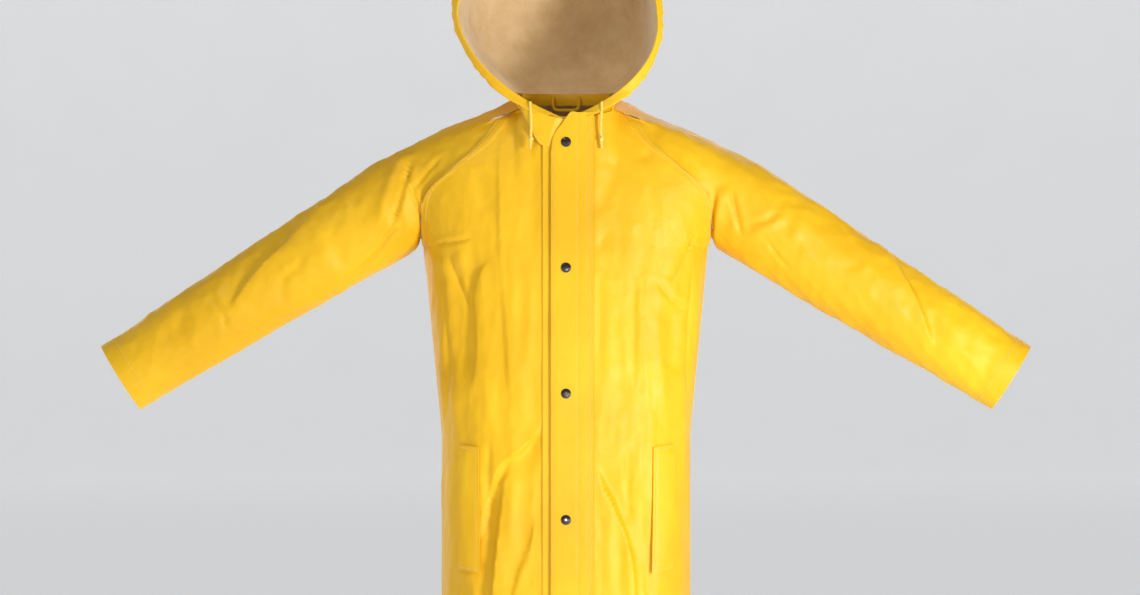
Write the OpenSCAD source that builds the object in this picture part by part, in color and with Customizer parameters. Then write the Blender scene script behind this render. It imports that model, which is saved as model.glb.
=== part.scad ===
// Foul weather jacket: a hooded raincoat of coated fabric with raglan sleeves,
// a snap-fastened storm flap, two welt pockets and a drawcord hood.
// It hangs as worn: +Z up, the front faces -Y, the origin is the centre of the neck.

/* [Body] */
// Length from the neck down to the hem
body_l = 900; // [820:10:1020]
// Half width of the body at the hem
hem_w = 201; // [180:1:230]
// Half width of the body at the waist
waist_w = 200; // [175:1:225]
// Half width of the body at the armholes
chest_w = 229; // [205:1:270]
// Depth of the armhole below the neck
armhole_d = 220; // [195:5:260]
// Reach of the centre front ahead of the origin at the hem
hem_front = 155; // [130:1:190]
// Reach of the centre front ahead of the origin at the neck
neck_front = 100; // [85:1:120]
// Reach of the back panel behind the origin
back_reach = 125; // [100:1:160]
// Thickness of the coated fabric
cloth_t = 2.4; // [1.8:0.1:3]
// Gap left at each butted seam
seam_gap = 2.4; // [2:0.1:3]
// Gap between a panel and what is sewn against its inner face
inner_gap = 2.2; // [1.8:0.1:3]

/* [Neck] */
// Half width of the neck opening
neck_w = 82; // [72:1:95]
// Drop of the neckline at the centre front
neck_drop = 20; // [10:1:40]
// Height of the neckline at the side of the neck
neck_side = 20; // [10:1:30]
// Depth of the neckline behind the origin
neck_back = 76; // [60:1:90]
// Fall of the shoulder line for each millimetre outwards
shoulder_slope = 0.344; // [0.25:0.01:0.42]

/* [Sleeves] */
// Length of the sleeve from the armhole to the cuff
sleeve_l = 570; // [480:5:660]
// Angle of the sleeve below the horizontal
sleeve_a = 32; // [20:1:45]
// Width of the sleeve at the armhole, seen from the front
arm_w = 158; // [140:1:176]
// Width of the sleeve at the cuff, seen from the front
cuff_w = 121; // [100:1:140]
// Depth of the sleeve at the armhole, front to back
arm_d = 136; // [110:1:150]
// Depth of the sleeve at the cuff, front to back
cuff_d = 96; // [80:1:120]
// Distance from the armhole to the shoulder's turning centre
shoulder_s = 130; // [120:1:140]
// Radius of the round cut that lets the sleeve turn at the shoulder
shoulder_r = 100; // [95:1:110]
// Distance from the armhole to the elbow
elbow_s = 310; // [300:1:340]
// Radius of the round cut that lets the sleeve bend at the elbow
elbow_r = 92; // [88:1:96]
// Gap between the two sides of a round cut
turn_gap = 4; // [3:0.5:6]
// Width of the turned-up cuff hem
cuff_hem_w = 26; // [15:1:40]

/* [Hood] */
// Height of the hood's front edge above the neck
hood_h = 286; // [260:1:320]
// Half width of the hood's front edge
hood_w = 160; // [140:1:180]
// Sideways lean of the crown, to the wearer's right
hood_lean = 14; // [0:1:20]
// Height of the axis on which the hood tips back
tip_z = 172; // [165:1:180]
// Radius of the round cut that lets the hood tip back
tip_r = 138; // [134:1:146]
// Width of the drawcord casing along the front edge
casing_w = 28; // [22:1:34]
// Diameter of the drawcord
cord_d = 4.2; // [3:0.1:5]

/* [Front] */
// Reach of the storm flap past the centre line
flap_reach = 24; // [18:1:30]
// Distance from the centre line to the flap's seam
flap_seam = 38; // [34:1:50]
// Thickness of the doubled flap
flap_t = 2.2; // [1.6:0.1:3]
// Reach of the right front past the centre line, under the flap
under_reach = 13; // [11:1:16]
// Width of the folded placket under the flap
placket_w = 50; // [44:1:56]
// Thickness of the folded placket
placket_t = 2; // [1.5:0.1:2.5]
// Distance from the neck down to the first snap
snap_first = 54; // [45:1:70]
// Spacing of the snaps
snap_pitch = 200; // [170:1:210]
// Number of snaps
snap_count = 5; // [4:1:5]
// Diameter of a snap's cap
cap_d = 16; // [13:0.5:18]
// Diameter of a snap's stud
stud_d = 6; // [5:0.5:7]
// Clearance round the stud in its socket
snap_play = 0.4; // [0.3:0.05:0.6]

/* [Pockets] */
// Height of a pocket welt
welt_h = 200; // [170:1:220]
// Width of a pocket welt
welt_w = 32; // [26:1:36]
// Distance from the centre line to the welt's inner edge
welt_x = 138; // [120:1:142]
// Distance from the neck down to the top of the welt
welt_z = 535; // [500:5:560]
// Depth of the pocket bag from its opening
bag_w = 96; // [80:1:102]
// Thickness of the empty pocket bag
bag_t = 12; // [10:1:16]

/* [Hidden] */

yellow = [0.96, 0.74, 0.10];
backing = [0.85, 0.70, 0.45];
black = [0.09, 0.07, 0.06];
steel = [0.75, 0.75, 0.76];

// Half width of the flat zone down the centre front
flat_w = 58;
// Depth of the side seams, measured from the origin
mid_y = 8;
// Height of the waist as a share of the length
waist_z = -0.58 * body_l;
neck_z = -neck_drop;
// Lean of the flat centre front from the vertical
front_tilt = atan((hem_front - neck_front) / (body_l - neck_drop));

// ---- plain functions ----
function lerp(a, b, t) = a + (b - a) * t;
function clamp01(t) = max(0, min(1, t));
function unit(v) = v / norm(v);
// Height of a superellipse of exponent n, one unit wide and high, at p
function rounded(p, n) = pow(max(0, 1 - pow(clamp01(p), n)), 1 / n);
function bezier(a, b, c, d, t) =
  a * pow(1 - t, 3) + 3 * b * t * pow(1 - t, 2) + 3 * c * t * t * (1 - t) + d * pow(t, 3);

// ---- surface of the body ----
function half_w(z) = z < -armhole_d
  ? lookup(z, [[-body_l, hem_w], [waist_z, waist_w], [-armhole_d, chest_w]])
  : chest_w + (z + armhole_d) * 0.37;
function front_y(z) = -lerp(hem_front, neck_front, (z + body_l) / (body_l - neck_drop));
function back_y(z) = lookup(z, [
  [-body_l, back_reach], [waist_z, back_reach - 13], [-armhole_d + 60, back_reach]]);
// Height of the shoulder line at x, with the neck rising steeply in front, gently behind
function top_z(x, rise) = neck_side - max(0, abs(x) - neck_w) * shoulder_slope
  + max(0, neck_w - abs(x)) * rise;
function fall(x, z, rise) =
  pow(max(0, 1 - pow(clamp01((z + armhole_d) / (top_z(x, rise) + armhole_d)), 3.5)), 0.45);
function front_pt(x, z) = [x, mid_y + (front_y(z) - mid_y)
  * rounded((abs(x) - flat_w) / (half_w(z) - flat_w), 2.4) * fall(x, z, 4), z];
function back_pt(x, z) = [x, mid_y + (back_y(z) - mid_y)
  * rounded(abs(x) / half_w(z), 2.6) * fall(x, z, 0.38), z];

// Raglan seam from the underarm to the neck: place along it, then its shares of the
// way out from the neck and of the way down to the underarm
raglan = [[0, 1, 1], [0.2, 1, 0.683], [0.3, 0.91, 0.566], [0.46, 0.61, 0.394],
  [0.6, 0.344, 0.235], [0.76, 0.115, 0.045], [0.83, 0, 0]];
front_neck = [neck_w - 10, 1];
back_neck = [neck_w - 12, 22];
function seam_x(row, neck) = lerp(neck.x, chest_w, row[1]);
function seam_z(row, neck) = lerp(neck.y, -armhole_d, row[2]);
// Outer edge of a body panel at height z, up to the neck
function edge_x(z, neck) = z < -armhole_d ? half_w(z)
  : lookup(z, [for (row = raglan) [seam_z(row, neck), seam_x(row, neck)]]);
function raglan_xz(f, neck) = [
  lookup(f, [for (row = raglan) [row[0], seam_x(row, neck)], [1, neck_w]]),
  lookup(f, [for (row = raglan) [row[0], seam_z(row, neck)], [1, neck_side - 1]])];

// ---- surface of a sleeve, on the wearer's left ----
arm_root = [chest_w + 5, mid_y, -armhole_d + 92];
arm_dir = [cos(sleeve_a), 0, -sin(sleeve_a)];
arm_up = [sin(sleeve_a), 0, cos(sleeve_a)];
shoulder_at = arm_root + arm_dir * shoulder_s;
elbow_at = arm_root + arm_dir * elbow_s;
// Places round a ring: 0 underneath, 0.5 front, 1 on top, 1.5 back
function arm_in(s) = lerp(arm_w, cuff_w, s / sleeve_l) / 2;
function arm_out(s) = lerp(arm_d, cuff_d, s / sleeve_l) / 2;
function arm_pt(s, u, shrink = 0) = arm_root + arm_dir * s
  - arm_up * (arm_in(s) - shrink) * cos(180 * u) - [0, (arm_out(s) - shrink) * sin(180 * u), 0];
// Where a round cut of radius r about the shoulder or elbow crosses the sleeve
function shoulder_cut(u, r) = shoulder_s - sqrt(r * r - pow(arm_in(70) * cos(180 * u), 2));
function elbow_cut(u, r) = elbow_s - sqrt(r * r - pow(arm_out(250) * sin(180 * u), 2));

// ---- surface of the hood, right half seen from the front ----
// Height of the hood's lower edge above the neck seam
seat = 4;
function neckline(t) = let (rise = clamp01(t / 0.6)) [neck_w * sin(180 * t),
  lerp(-neck_front, neck_back, (1 - cos(180 * t)) / 2),
  seat + lerp(neck_z, neck_side + 4, rise * rise * (3 - 2 * rise))];
function crown(t) = bezier([0, -76, hood_h], [0, 60, hood_h + 62], [0, 210, 0.8 * hood_h],
  [0, neck_back + 5, neck_side + 8], t);
function hood_half(t) = hood_w * (1 - 0.22 * pow(t, 0.8)) * pow(max(0, 1 - pow(t, 5)), 0.5);
function lean_at(z) = -hood_lean * pow(clamp01(z / 150), 1.5);
function hood_pt(t, v, side = 1) =
  let (n = neckline(t), c = crown(t), bulge = (8 * hood_half(t) - n.x) / 6)
  let (p = bezier(n, [bulge, n.y, lerp(n.z, c.z, 0.255)], [bulge, c.y, lerp(n.z, c.z, 0.876)], c, v))
  [side * p.x + lean_at(p.z), p.y, p.z];

// ---- solids made from grids of points ----
// Unit normal of a grid at row i, place j; a ring grid wraps round in j
function grid_n(g, i, j, wrap) =
  let (m = len(g) - 1, n = len(g[0]))
  let (a = g[min(m, i + 1)][j] - g[max(0, i - 1)][j])
  let (b = wrap ? g[i][(j + 1) % n] - g[i][(j + n - 1) % n]
    : g[i][min(n - 1, j + 1)] - g[i][max(0, j - 1)])
  unit(cross(b, a));
function grid_shift(g, d, wrap = false) =
  [for (i = [0:len(g) - 1]) [for (j = [0:len(g[0]) - 1]) g[i][j] + grid_n(g, i, j, wrap) * d]];
function quad_tris(a, b, c, d) = [[a, b, c], [a, c, d]];
// Closed solid between an upper grid and a lower grid
module slab(top, low, wrap = false) {
  m = len(top);
  n = len(top[0]);
  last = wrap ? n - 1 : n - 2;
  base = m * n;
  faces = [
    for (i = [0:m - 2], j = [0:last]) let (k = (j + 1) % n)
      each quad_tris(i * n + j, (i + 1) * n + j, (i + 1) * n + k, i * n + k),
    for (i = [0:m - 2], j = [0:last]) let (k = (j + 1) % n)
      each quad_tris(base + i * n + j, base + i * n + k, base + (i + 1) * n + k, base + (i + 1) * n + j),
    for (j = [0:last]) let (k = (j + 1) % n) each quad_tris(j, k, base + k, base + j),
    for (j = [0:last]) let (k = (j + 1) % n, r = (m - 1) * n)
      each quad_tris(r + k, r + j, base + r + j, base + r + k),
    if (!wrap) for (i = [0:m - 2]) each quad_tris(i * n, base + i * n, base + (i + 1) * n, (i + 1) * n),
    if (!wrap) for (i = [0:m - 2]) let (e = n - 1)
      each quad_tris(i * n + e, (i + 1) * n + e, base + (i + 1) * n + e, base + i * n + e)
  ];
  polyhedron([each each top, each each low], faces, convexity = 8);
}
// Sheet of thickness t whose outer face is the grid; lift moves it off the grid
module sheet(grid, t, lift = 0, wrap = false) {
  slab(grid_shift(grid, lift, wrap), grid_shift(grid, lift - t, wrap), wrap);
}
// Round cord of diameter d through a list of points
module cord(path, d) {
  sides = 8;
  m = len(path) - 1;
  rings = [for (i = [0:m])
    let (f = unit(path[min(m, i + 1)] - path[max(0, i - 1)]))
    let (a = unit(cross(f, abs(f.y) > 0.9 ? [1, 0, 0] : [0, 1, 0])))
    let (b = cross(f, a))
    for (k = [0:sides - 1]) path[i] + (a * cos(45 * k) + b * sin(45 * k)) * d / 2];
  faces = [
    for (i = [0:m - 1], k = [0:sides - 1]) let (q = (k + 1) % sides)
      each quad_tris(i * sides + q, i * sides + k, (i + 1) * sides + k, (i + 1) * sides + q),
    [for (k = [0:sides - 1]) k],
    [for (k = [sides - 1:-1:0]) m * sides + k]
  ];
  polyhedron(rings, faces, convexity = 4);
}
// Places the flat centre front: x along it, -y out of it, z up it, from height z
module on_front(z) {
  translate([0, front_y(z), z]) rotate([-front_tilt, 0, 0]) children();
}
module snap_row() {
  for (i = [0:snap_count - 1]) on_front(-snap_first - i * snap_pitch) rotate([90, 0, 0]) children();
}
module mirrored(side) {
  if (side > 0) children();
  else mirror([1, 0, 0]) children();
}

// ---- body panels ----
panel_rows = 22;
// Extra room at the back panel's edge, which meets the sleeve at a sharper turn
back_ease = 2;
// Share of the quarter turn that a panel covers before it stops at the side seam
side_stop = 0.998;
// Columns from x0 to the edge: straight across the flat zone, then evenly round the side
function front_col(x0, z, t) =
  let (e = edge_x(z, front_neck) - (z < -armhole_d ? 0 : seam_gap), w = half_w(z) - flat_w)
  let (flat = clamp01((flat_w - x0) / (e - x0)))
  let (turn = asin(pow(clamp01((e - flat_w) / w), 1.2)) * side_stop)
  t < flat ? lerp(x0, flat_w, t / flat)
  : flat_w + w * pow(sin(turn * (t - flat) / (1 - flat)), 1 / 1.2);
function back_col(z, t) =
  let (e = edge_x(z, back_neck) - (z < -armhole_d ? 0 : seam_gap + back_ease), w = half_w(z))
  let (turn = asin(pow(clamp01(e / w), 1.3)) * side_stop)
  sign(t) * w * pow(sin(turn * abs(t)), 1 / 1.3);
// Front panel from x0 at the centre to the side seam, on the left or mirrored
function front_grid(x0, rows = panel_rows, cols = 12) = [for (i = [0:rows]) [for (j = [0:cols])
  let (t = j / cols)
  let (z = lerp(-body_l, lerp(neck_z, front_neck.y, t), i / rows))
  front_pt(front_col(x0, z, t), z)]];
function back_grid(rows = panel_rows, cols = 20) = [for (i = [0:rows]) [for (j = [0:cols])
  let (t = 1 - 2 * j / cols)
  let (z = lerp(-body_l, neck_side + 5 - 3 * abs(t), i / rows))
  back_pt(back_col(z, t), z)]];
module front_panel(side, x0) {
  color(yellow) mirrored(side) difference() {
    sheet(front_grid(x0), cloth_t);
    // the pocket's slit, under the welt
    translate([welt_x + 6, -hem_front, -welt_z - welt_h + 14]) cube([slit_w, hem_front, welt_h - 28]);
  }
}
slit_w = 8;
module left_front_panel() { front_panel(1, under_reach + 1); }
module right_front_panel() { front_panel(-1, -under_reach); }
module back_panel() { color(yellow) sheet(back_grid(), cloth_t); }

// ---- raglan shoulder panels: from the raglan seam to the shoulder's round cut ----
ring_n = 32;
function raglan_pt(u) = u <= 1
  ? let (p = raglan_xz(u, front_neck)) front_pt(p.x, p.y)
  : let (p = raglan_xz(2 - u, back_neck)) back_pt(p.x, p.y);
function raglan_way(u) = u <= 1
  ? let (p = raglan_xz(u, front_neck)) unit(front_pt(p.x + 10, p.y - 4) - front_pt(p.x, p.y))
  : let (p = raglan_xz(2 - u, back_neck)) unit(back_pt(p.x + 10, p.y - 4) - back_pt(p.x, p.y));
function shoulder_pt(u, t) =
  let (a = raglan_pt(u), b = arm_pt(shoulder_cut(u, shoulder_r + turn_gap), u))
  let (l = norm(b - a) / 3, start = a + raglan_way(u) * seam_gap)
  bezier(start, a + raglan_way(u) * l, b - arm_dir * l, b, t);
function shoulder_grid(rows = 9) =
  [for (i = [0:rows]) [for (j = [0:ring_n - 1]) shoulder_pt(2 * j / ring_n, i / rows)]];
module shoulder_panel(side) {
  color(yellow) mirrored(side) sheet(shoulder_grid(), cloth_t, 0, true);
}
module left_shoulder_panel() { shoulder_panel(1); }
module right_shoulder_panel() { shoulder_panel(-1); }

// ---- sleeves ----
function upper_sleeve_grid(rows = 6) = [for (i = [0:rows]) [for (j = [0:ring_n - 1])
  let (u = 2 * j / ring_n)
  arm_pt(lerp(shoulder_cut(u, shoulder_r), elbow_cut(u, elbow_r + turn_gap), i / rows), u)]];
function lower_sleeve_grid(rows = 9) = [for (i = [0:rows]) [for (j = [0:ring_n - 1])
  let (u = 2 * j / ring_n)
  arm_pt(lerp(elbow_cut(u, elbow_r), sleeve_l, i / rows), u)]];
module upper_sleeve(side) {
  color(yellow) mirrored(side) sheet(upper_sleeve_grid(), cloth_t, 0, true);
}
module lower_sleeve(side) {
  color(yellow) mirrored(side) sheet(lower_sleeve_grid(), cloth_t, 0, true);
}
module left_upper_sleeve() { upper_sleeve(1); }
module right_upper_sleeve() { upper_sleeve(-1); }
module left_lower_sleeve() { lower_sleeve(1); }
module right_lower_sleeve() { lower_sleeve(-1); }
// Turned-up band inside the cuff
module cuff_hem(side) {
  band = [for (i = [0:1]) [for (j = [0:ring_n - 1])
    arm_pt(sleeve_l - lerp(cuff_hem_w, 1, i), 2 * j / ring_n, cloth_t + 0.5)]];
  color(backing) mirrored(side) sheet(band, 1.6, 0, true);
}
module left_cuff_hem() { cuff_hem(1); }
module right_cuff_hem() { cuff_hem(-1); }

// ---- hems and tapes inside the body ----
hem_h = 30;
// Band inside the hem, from the left front edge round the back to the right front edge
module bottom_hem() {
  w = hem_w - 3;
  turns = 40;
  function hem_pt(k, z) = let (a = lerp(10, 350, k / turns), x = w * sin(a))
    cos(a) > 0 ? front_pt(x, z) : back_pt(x, z);
  band = [for (i = [0:1]) [for (k = [0:turns]) hem_pt(k, -body_l + lerp(2, hem_h, i))]];
  color(backing) sheet(band, 1.6, -cloth_t - inner_gap);
}
// Tape inside each side seam
tape_w = 34;
module side_seam_tape(side) {
  band = [for (i = [0:14]) [for (j = [0:6])
    let (z = lerp(-body_l + hem_h + 4, -armhole_d - 12, i / 14), y = tape_w * (j / 6 - 0.5))
    [flat_w + (half_w(z) - flat_w) * rounded(abs(y) / back_reach, 2.4), mid_y + y, z]]];
  color(backing) mirrored(side) sheet(band, 0.8, -cloth_t - inner_gap);
}
module left_side_seam_tape() { side_seam_tape(1); }
module right_side_seam_tape() { side_seam_tape(-1); }
// Binding inside the neck seam, round the back from side to side
module neck_binding() {
  turns = 18;
  band = [for (i = [0:1]) [for (k = [0:turns])
    let (t = lerp(0.62, 1.38, k / turns), s = t <= 1 ? 1 : -1)
    let (p = neckline(t <= 1 ? t : 2 - t))
    [s * (p.x - 7 * sin(180 * (t <= 1 ? t : 2 - t))), p.y - 8, p.z - 18 + 18 * i]]];
  color(backing) sheet(band, 1.2);
}
// Loop of folded tape at the back of the neck
loop_w = 48;
loop_drop = 22;
module hanger_loop() {
  color(yellow) translate([0, neck_back - 17, neck_side - 6]) rotate([90, 0, 0]) difference() {
    linear_extrude(1.6) offset(3) square([loop_w - 6, loop_drop], center = true);
    translate([0, 0, -1]) linear_extrude(4) offset(2) square([loop_w - 18, loop_drop - 8], center = true);
  }
}

// ---- hood ----
hood_cols = 12;
hood_rows = 13;
function hood_grid(side) = [for (i = [0:hood_rows]) [for (j = [0:hood_cols])
  let (v = lerp(0.012, 0.996, side > 0 ? 1 - j / hood_cols : j / hood_cols))
  hood_pt(0.965 * i / hood_rows, v, side)]];
tip_y = 14;
// Space that stays with the neck, outside the round cut of radius r
module below_cut(r) {
  difference() {
    translate([-300, -300, -60]) cube([600, 600, tip_z + 60]);
    translate([-301, tip_y, tip_z]) rotate([0, 90, 0]) cylinder(r = r, h = 602, $fn = 120);
  }
}
module tipping_part() { difference() { children(); below_cut(tip_r); } }
module neck_part() { intersection() { children(); below_cut(tip_r + turn_gap); } }
module hood_left_neck() { color(yellow) neck_part() sheet(hood_grid(1), cloth_t); }
module hood_right_neck() { color(yellow) neck_part() sheet(hood_grid(-1), cloth_t); }
module hood_left_crown() { color(yellow) tipping_part() sheet(hood_grid(1), cloth_t); }
module hood_right_crown() { color(yellow) tipping_part() sheet(hood_grid(-1), cloth_t); }
// Tape over the crown seam, inside
module hood_seam_tape() {
  band = [for (i = [2:11]) [for (s = [1, 0, -1])
    hood_pt(0.965 * i / hood_rows, s == 0 ? 1 : 0.955, s == 0 ? 1 : s)]];
  color(backing) tipping_part() sheet(band, 0.8, -cloth_t - 0.5);
}
// Folded casing along the front edge, hollow for the drawcord
// Depth of the casing, with room for the drawcord
casing_h = cord_d + 4.8;
casing_wall = 1.2;
// Depth of the casing's outer face below the hood's outer face
casing_in = cloth_t + inner_gap + 0.6;
// Point inside the hood: across back from its front edge, deep below its outer face
function rim_pt(v, side, across, deep) =
  let (t = 0.1 * across / norm(hood_pt(0.1, v, side) - hood_pt(0, v, side)))
  let (a = hood_pt(t, min(1, v + 0.02), side), b = hood_pt(t, max(0, v - 0.02), side))
  let (back = hood_pt(t + 0.02, v, side) - hood_pt(t, v, side))
  hood_pt(t, v, side) - unit(cross(b - a, back)) * side * deep;
casing_corners = [[0, 0], [1, 0], [1, 1], [0, 1]];
function casing_loop(v, side, shrink) = [for (i = [0:3]) let (c = casing_corners[side > 0 ? i : 3 - i])
  rim_pt(v, side, lerp(1 + shrink, casing_w - shrink, c.x),
    casing_in + lerp(shrink, casing_h - shrink, c.y))];
module casing(from, to, side, n) {
  vs = [for (i = [0:n]) lerp(from, to, i / n)];
  outer = [for (v = vs) casing_loop(v, side, 0)];
  inner = [for (v = vs) casing_loop(v, side, casing_wall)];
  slab(outer, inner, true);
}
// Places along the front edge: the drawcord's exit, and the ends of the casing and the
// cord on each side of the round cut
cord_v = 0.1;
casing_neck_v = 0.17;
casing_crown_v = 0.35;
cord_neck_v = 0.185;
cord_crown_v = 0.34;
// On the neck the casing is a ribbon behind the cord, because the hood narrows to a corner
ribbon_w = 16;
module casing_ribbon(side) {
  ribbon = [for (i = [0:4])
    let (v = lerp(cord_v + 0.005, casing_neck_v, i / 4), at = cord_in(v, side))
    let (inwards = unit(rim_pt(v, side, casing_w / 2, 1) - rim_pt(v, side, casing_w / 2, 0)))
    let (along = unit(cord_in(v + 0.01, side) - cord_in(v - 0.01, side)))
    let (across = unit(cross(along, inwards)))
    [for (k = [-1:1]) at + inwards * (cord_d / 2 + inner_gap) + across * side * k * ribbon_w / 2]];
  color(yellow) sheet(ribbon, casing_wall);
}
module left_casing_neck() { casing_ribbon(1); }
module right_casing_neck() { casing_ribbon(-1); }
module crown_casing() {
  color(yellow) {
    casing(casing_crown_v, 0.995, 1, 14);
    casing(casing_crown_v, 0.995, -1, 14);
  }
}
// Drawcord inside the casing
function cord_in(v, side) = rim_pt(v, side, casing_w / 2, casing_in + casing_h / 2);
function cord_run(from, to, side, n) = [for (i = [0:n]) cord_in(lerp(from, to, i / n), side)];
module left_cord_neck() { color(yellow) cord(cord_run(cord_v + 0.005, cord_neck_v, 1, 6), cord_d); }
module right_cord_neck() { color(yellow) cord(cord_run(cord_v + 0.005, cord_neck_v, -1, 6), cord_d); }
module crown_cord() {
  color(yellow) cord([
    each cord_run(cord_crown_v, 0.99, 1, 16),
    each cord_run(0.99, cord_crown_v, -1, 16)], cord_d);
}
// Free ends of the drawcord: route on the wearer's left, top to bottom
end_route = [[57, -104, 11], [57, -105, 4], [56.5, -106, -4], [56, -107, -14], [55.5, -108, -24],
  [55.5, -108.5, -34], [56, -109, -43.7]];
tail_route = [[56, -109, -52.3], [56.5, -109.5, -58], [57, -110, -64]];
knot_at = [56, -109, -48];
module drawcord_end(side) {
  color(yellow) mirrored(side) {
    cord(end_route, cord_d);
    cord(tail_route, cord_d);
  }
}
module left_drawcord_end() { drawcord_end(1); }
module right_drawcord_end() { drawcord_end(-1); }
module cord_knot(side) {
  color(yellow) mirrored(side) translate(knot_at)
    rotate_extrude($fn = 32) polygon([[0, -4], [2.6, -4], [4.2, -2], [4.4, 0], [4.2, 2], [2.6, 4], [0, 4]]);
}
module left_cord_knot() { cord_knot(1); }
module right_cord_knot() { cord_knot(-1); }

// ---- storm flap, placket and snaps, stacked outwards on the flat centre front ----
snap_base_t = 1;
snap_h = 2.6;
flap_gap = placket_t + snap_base_t + snap_h + 0.3;
flap_l = body_l - neck_drop - 6;
// Outline of the flap, seen from the front, with its top corner cut away
flap_outline = [[-flap_reach, 0], [flap_seam, 0], [flap_seam, flap_l - 8], [8, flap_l],
  [-8, flap_l - 12], [-18, flap_l - 26], [-flap_reach, flap_l - 46]];
module storm_flap() {
  color(yellow) on_front(-body_l + 4) translate([0, -flap_gap, 0]) rotate([90, 0, 0])
    linear_extrude(flap_t) polygon(flap_outline);
}
module right_placket() {
  color(yellow) on_front(-body_l + 4) translate([under_reach - placket_w, -placket_t - 0.3, 0])
    cube([placket_w, placket_t, flap_l - 20]);
}
cap_h = 2.4;
module snap_caps() {
  color(black) snap_row() translate([0, 0, flap_gap + flap_t]) rotate_extrude($fn = 48)
    polygon([[0, 0], [cap_d / 2, 0], [cap_d / 2, 0.8], [cap_d / 2 - 1, 1.5], [cap_d / 2 - 3, 2.1],
      [2, cap_h], [0, cap_h]]);
}
module snap_sockets() {
  color(steel) snap_row() translate([0, 0, flap_gap - snap_h]) difference() {
    cylinder(d = cap_d - 3, h = snap_h, $fn = 48);
    translate([0, 0, -1]) cylinder(d = stud_d + 2 * snap_play, h = snap_h + 2, $fn = 48);
  }
}
module snap_studs() {
  color(steel) snap_row() translate([0, 0, placket_t + 0.3]) union() {
    cylinder(d = cap_d - 4, h = snap_base_t - 0.3, $fn = 48);
    cylinder(d = stud_d, h = snap_base_t + snap_h - 0.6, $fn = 48);
  }
}
module snap_backs() {
  color(steel) snap_row() translate([0, 0, -cloth_t - inner_gap]) cylinder(d = cap_d - 5, h = 1, $fn = 48);
}

// ---- pockets ----
module pocket_welt(side) {
  z0 = -welt_z - welt_h;
  rows = 8;
  band = [for (i = [0:rows]) [for (j = [0:5])
    front_pt(welt_x + welt_w * j / 5, z0 + welt_h * i / rows)]];
  color(yellow) mirrored(side) sheet(band, 2.2, 2.6);
}
module left_pocket_welt() { pocket_welt(1); }
module right_pocket_welt() { pocket_welt(-1); }
// Grid parallel to the front, between x0 and x1 and between z0 and z1
function bag_grid(x0, x1, z0, z1) = [for (i = [0:6]) [for (j = [0:8])
  front_pt(lerp(x0, x1, j / 8), lerp(z0, z1, i / 6))]];
module pocket_bag(side) {
  x1 = welt_x + 20;
  z0 = -welt_z - welt_h - 20;
  wall = 1.4;
  color(backing) mirrored(side) difference() {
    sheet(bag_grid(x1 - bag_w, x1, z0, -welt_z), bag_t, -cloth_t - inner_gap);
    sheet(bag_grid(x1 - bag_w + 3, x1 - 2, z0 + 3, -welt_z - 3), bag_t - 2 * wall,
      -cloth_t - inner_gap - wall);
    translate([welt_x + 6, -hem_front - 20, z0 + 34]) cube([slit_w, hem_front + 6, welt_h - 28]);
  }
}
module left_pocket_bag() { pocket_bag(1); }
module right_pocket_bag() { pocket_bag(-1); }

back_panel();
left_front_panel();
right_front_panel();
left_shoulder_panel();
right_shoulder_panel();
left_upper_sleeve();
right_upper_sleeve();
left_lower_sleeve();
right_lower_sleeve();
left_cuff_hem();
right_cuff_hem();
bottom_hem();
left_side_seam_tape();
right_side_seam_tape();
neck_binding();
hanger_loop();
hood_left_neck();
hood_right_neck();
hood_left_crown();
hood_right_crown();
hood_seam_tape();
left_casing_neck();
right_casing_neck();
crown_casing();
left_cord_neck();
right_cord_neck();
crown_cord();
left_drawcord_end();
right_drawcord_end();
left_cord_knot();
right_cord_knot();
storm_flap();
right_placket();
snap_caps();
snap_sockets();
snap_studs();
snap_backs();
left_pocket_welt();
right_pocket_welt();
left_pocket_bag();
right_pocket_bag();
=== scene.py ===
"""Foul weather jacket: coated yellow fabric cut into panels, sewn, snapped and hooded.

Sizes are in millimetres in the row frame until mesh_from() turns them into metres.
"""
import math

import bpy
import numpy as np
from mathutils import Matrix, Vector


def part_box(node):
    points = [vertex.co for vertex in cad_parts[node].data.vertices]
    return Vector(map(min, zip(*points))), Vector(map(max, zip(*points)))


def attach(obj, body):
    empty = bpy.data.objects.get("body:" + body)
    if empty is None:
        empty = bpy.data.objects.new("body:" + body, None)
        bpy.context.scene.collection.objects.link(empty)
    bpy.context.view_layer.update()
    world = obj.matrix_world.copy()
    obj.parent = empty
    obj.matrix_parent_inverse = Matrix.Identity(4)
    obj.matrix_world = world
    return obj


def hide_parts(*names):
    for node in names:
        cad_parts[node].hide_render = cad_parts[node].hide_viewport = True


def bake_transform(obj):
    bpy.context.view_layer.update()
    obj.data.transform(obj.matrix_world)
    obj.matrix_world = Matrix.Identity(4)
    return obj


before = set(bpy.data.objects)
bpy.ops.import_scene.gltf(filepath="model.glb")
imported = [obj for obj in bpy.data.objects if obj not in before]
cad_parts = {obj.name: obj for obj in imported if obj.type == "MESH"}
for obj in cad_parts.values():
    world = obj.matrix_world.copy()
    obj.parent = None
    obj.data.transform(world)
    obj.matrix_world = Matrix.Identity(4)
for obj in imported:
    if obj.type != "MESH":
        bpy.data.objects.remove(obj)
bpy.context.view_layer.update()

MM = 0.001


# ---------- sizes from the frame
def box_mm(node):
    low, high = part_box(node)
    return np.array(low) / MM, np.array(high) / MM


HEM_Z = box_mm("back_panel")[0][2]
HEM_W = 201.0
WAIST_W = 200.0
CHEST_W = 229.0
UNDERARM_Z = -220.0
WAIST_Z = 0.58 * HEM_Z
HEM_FRONT, NECK_FRONT = -155.0, -100.0
NECK_Z = -20.0
BACK_REACH = 125.0
NECK_W, NECK_SIDE, NECK_BACK = 82.0, 20.0, 76.0
SLOPE = 0.344
FLAT_W = 58.0
MID_Y = 8.0

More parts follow.
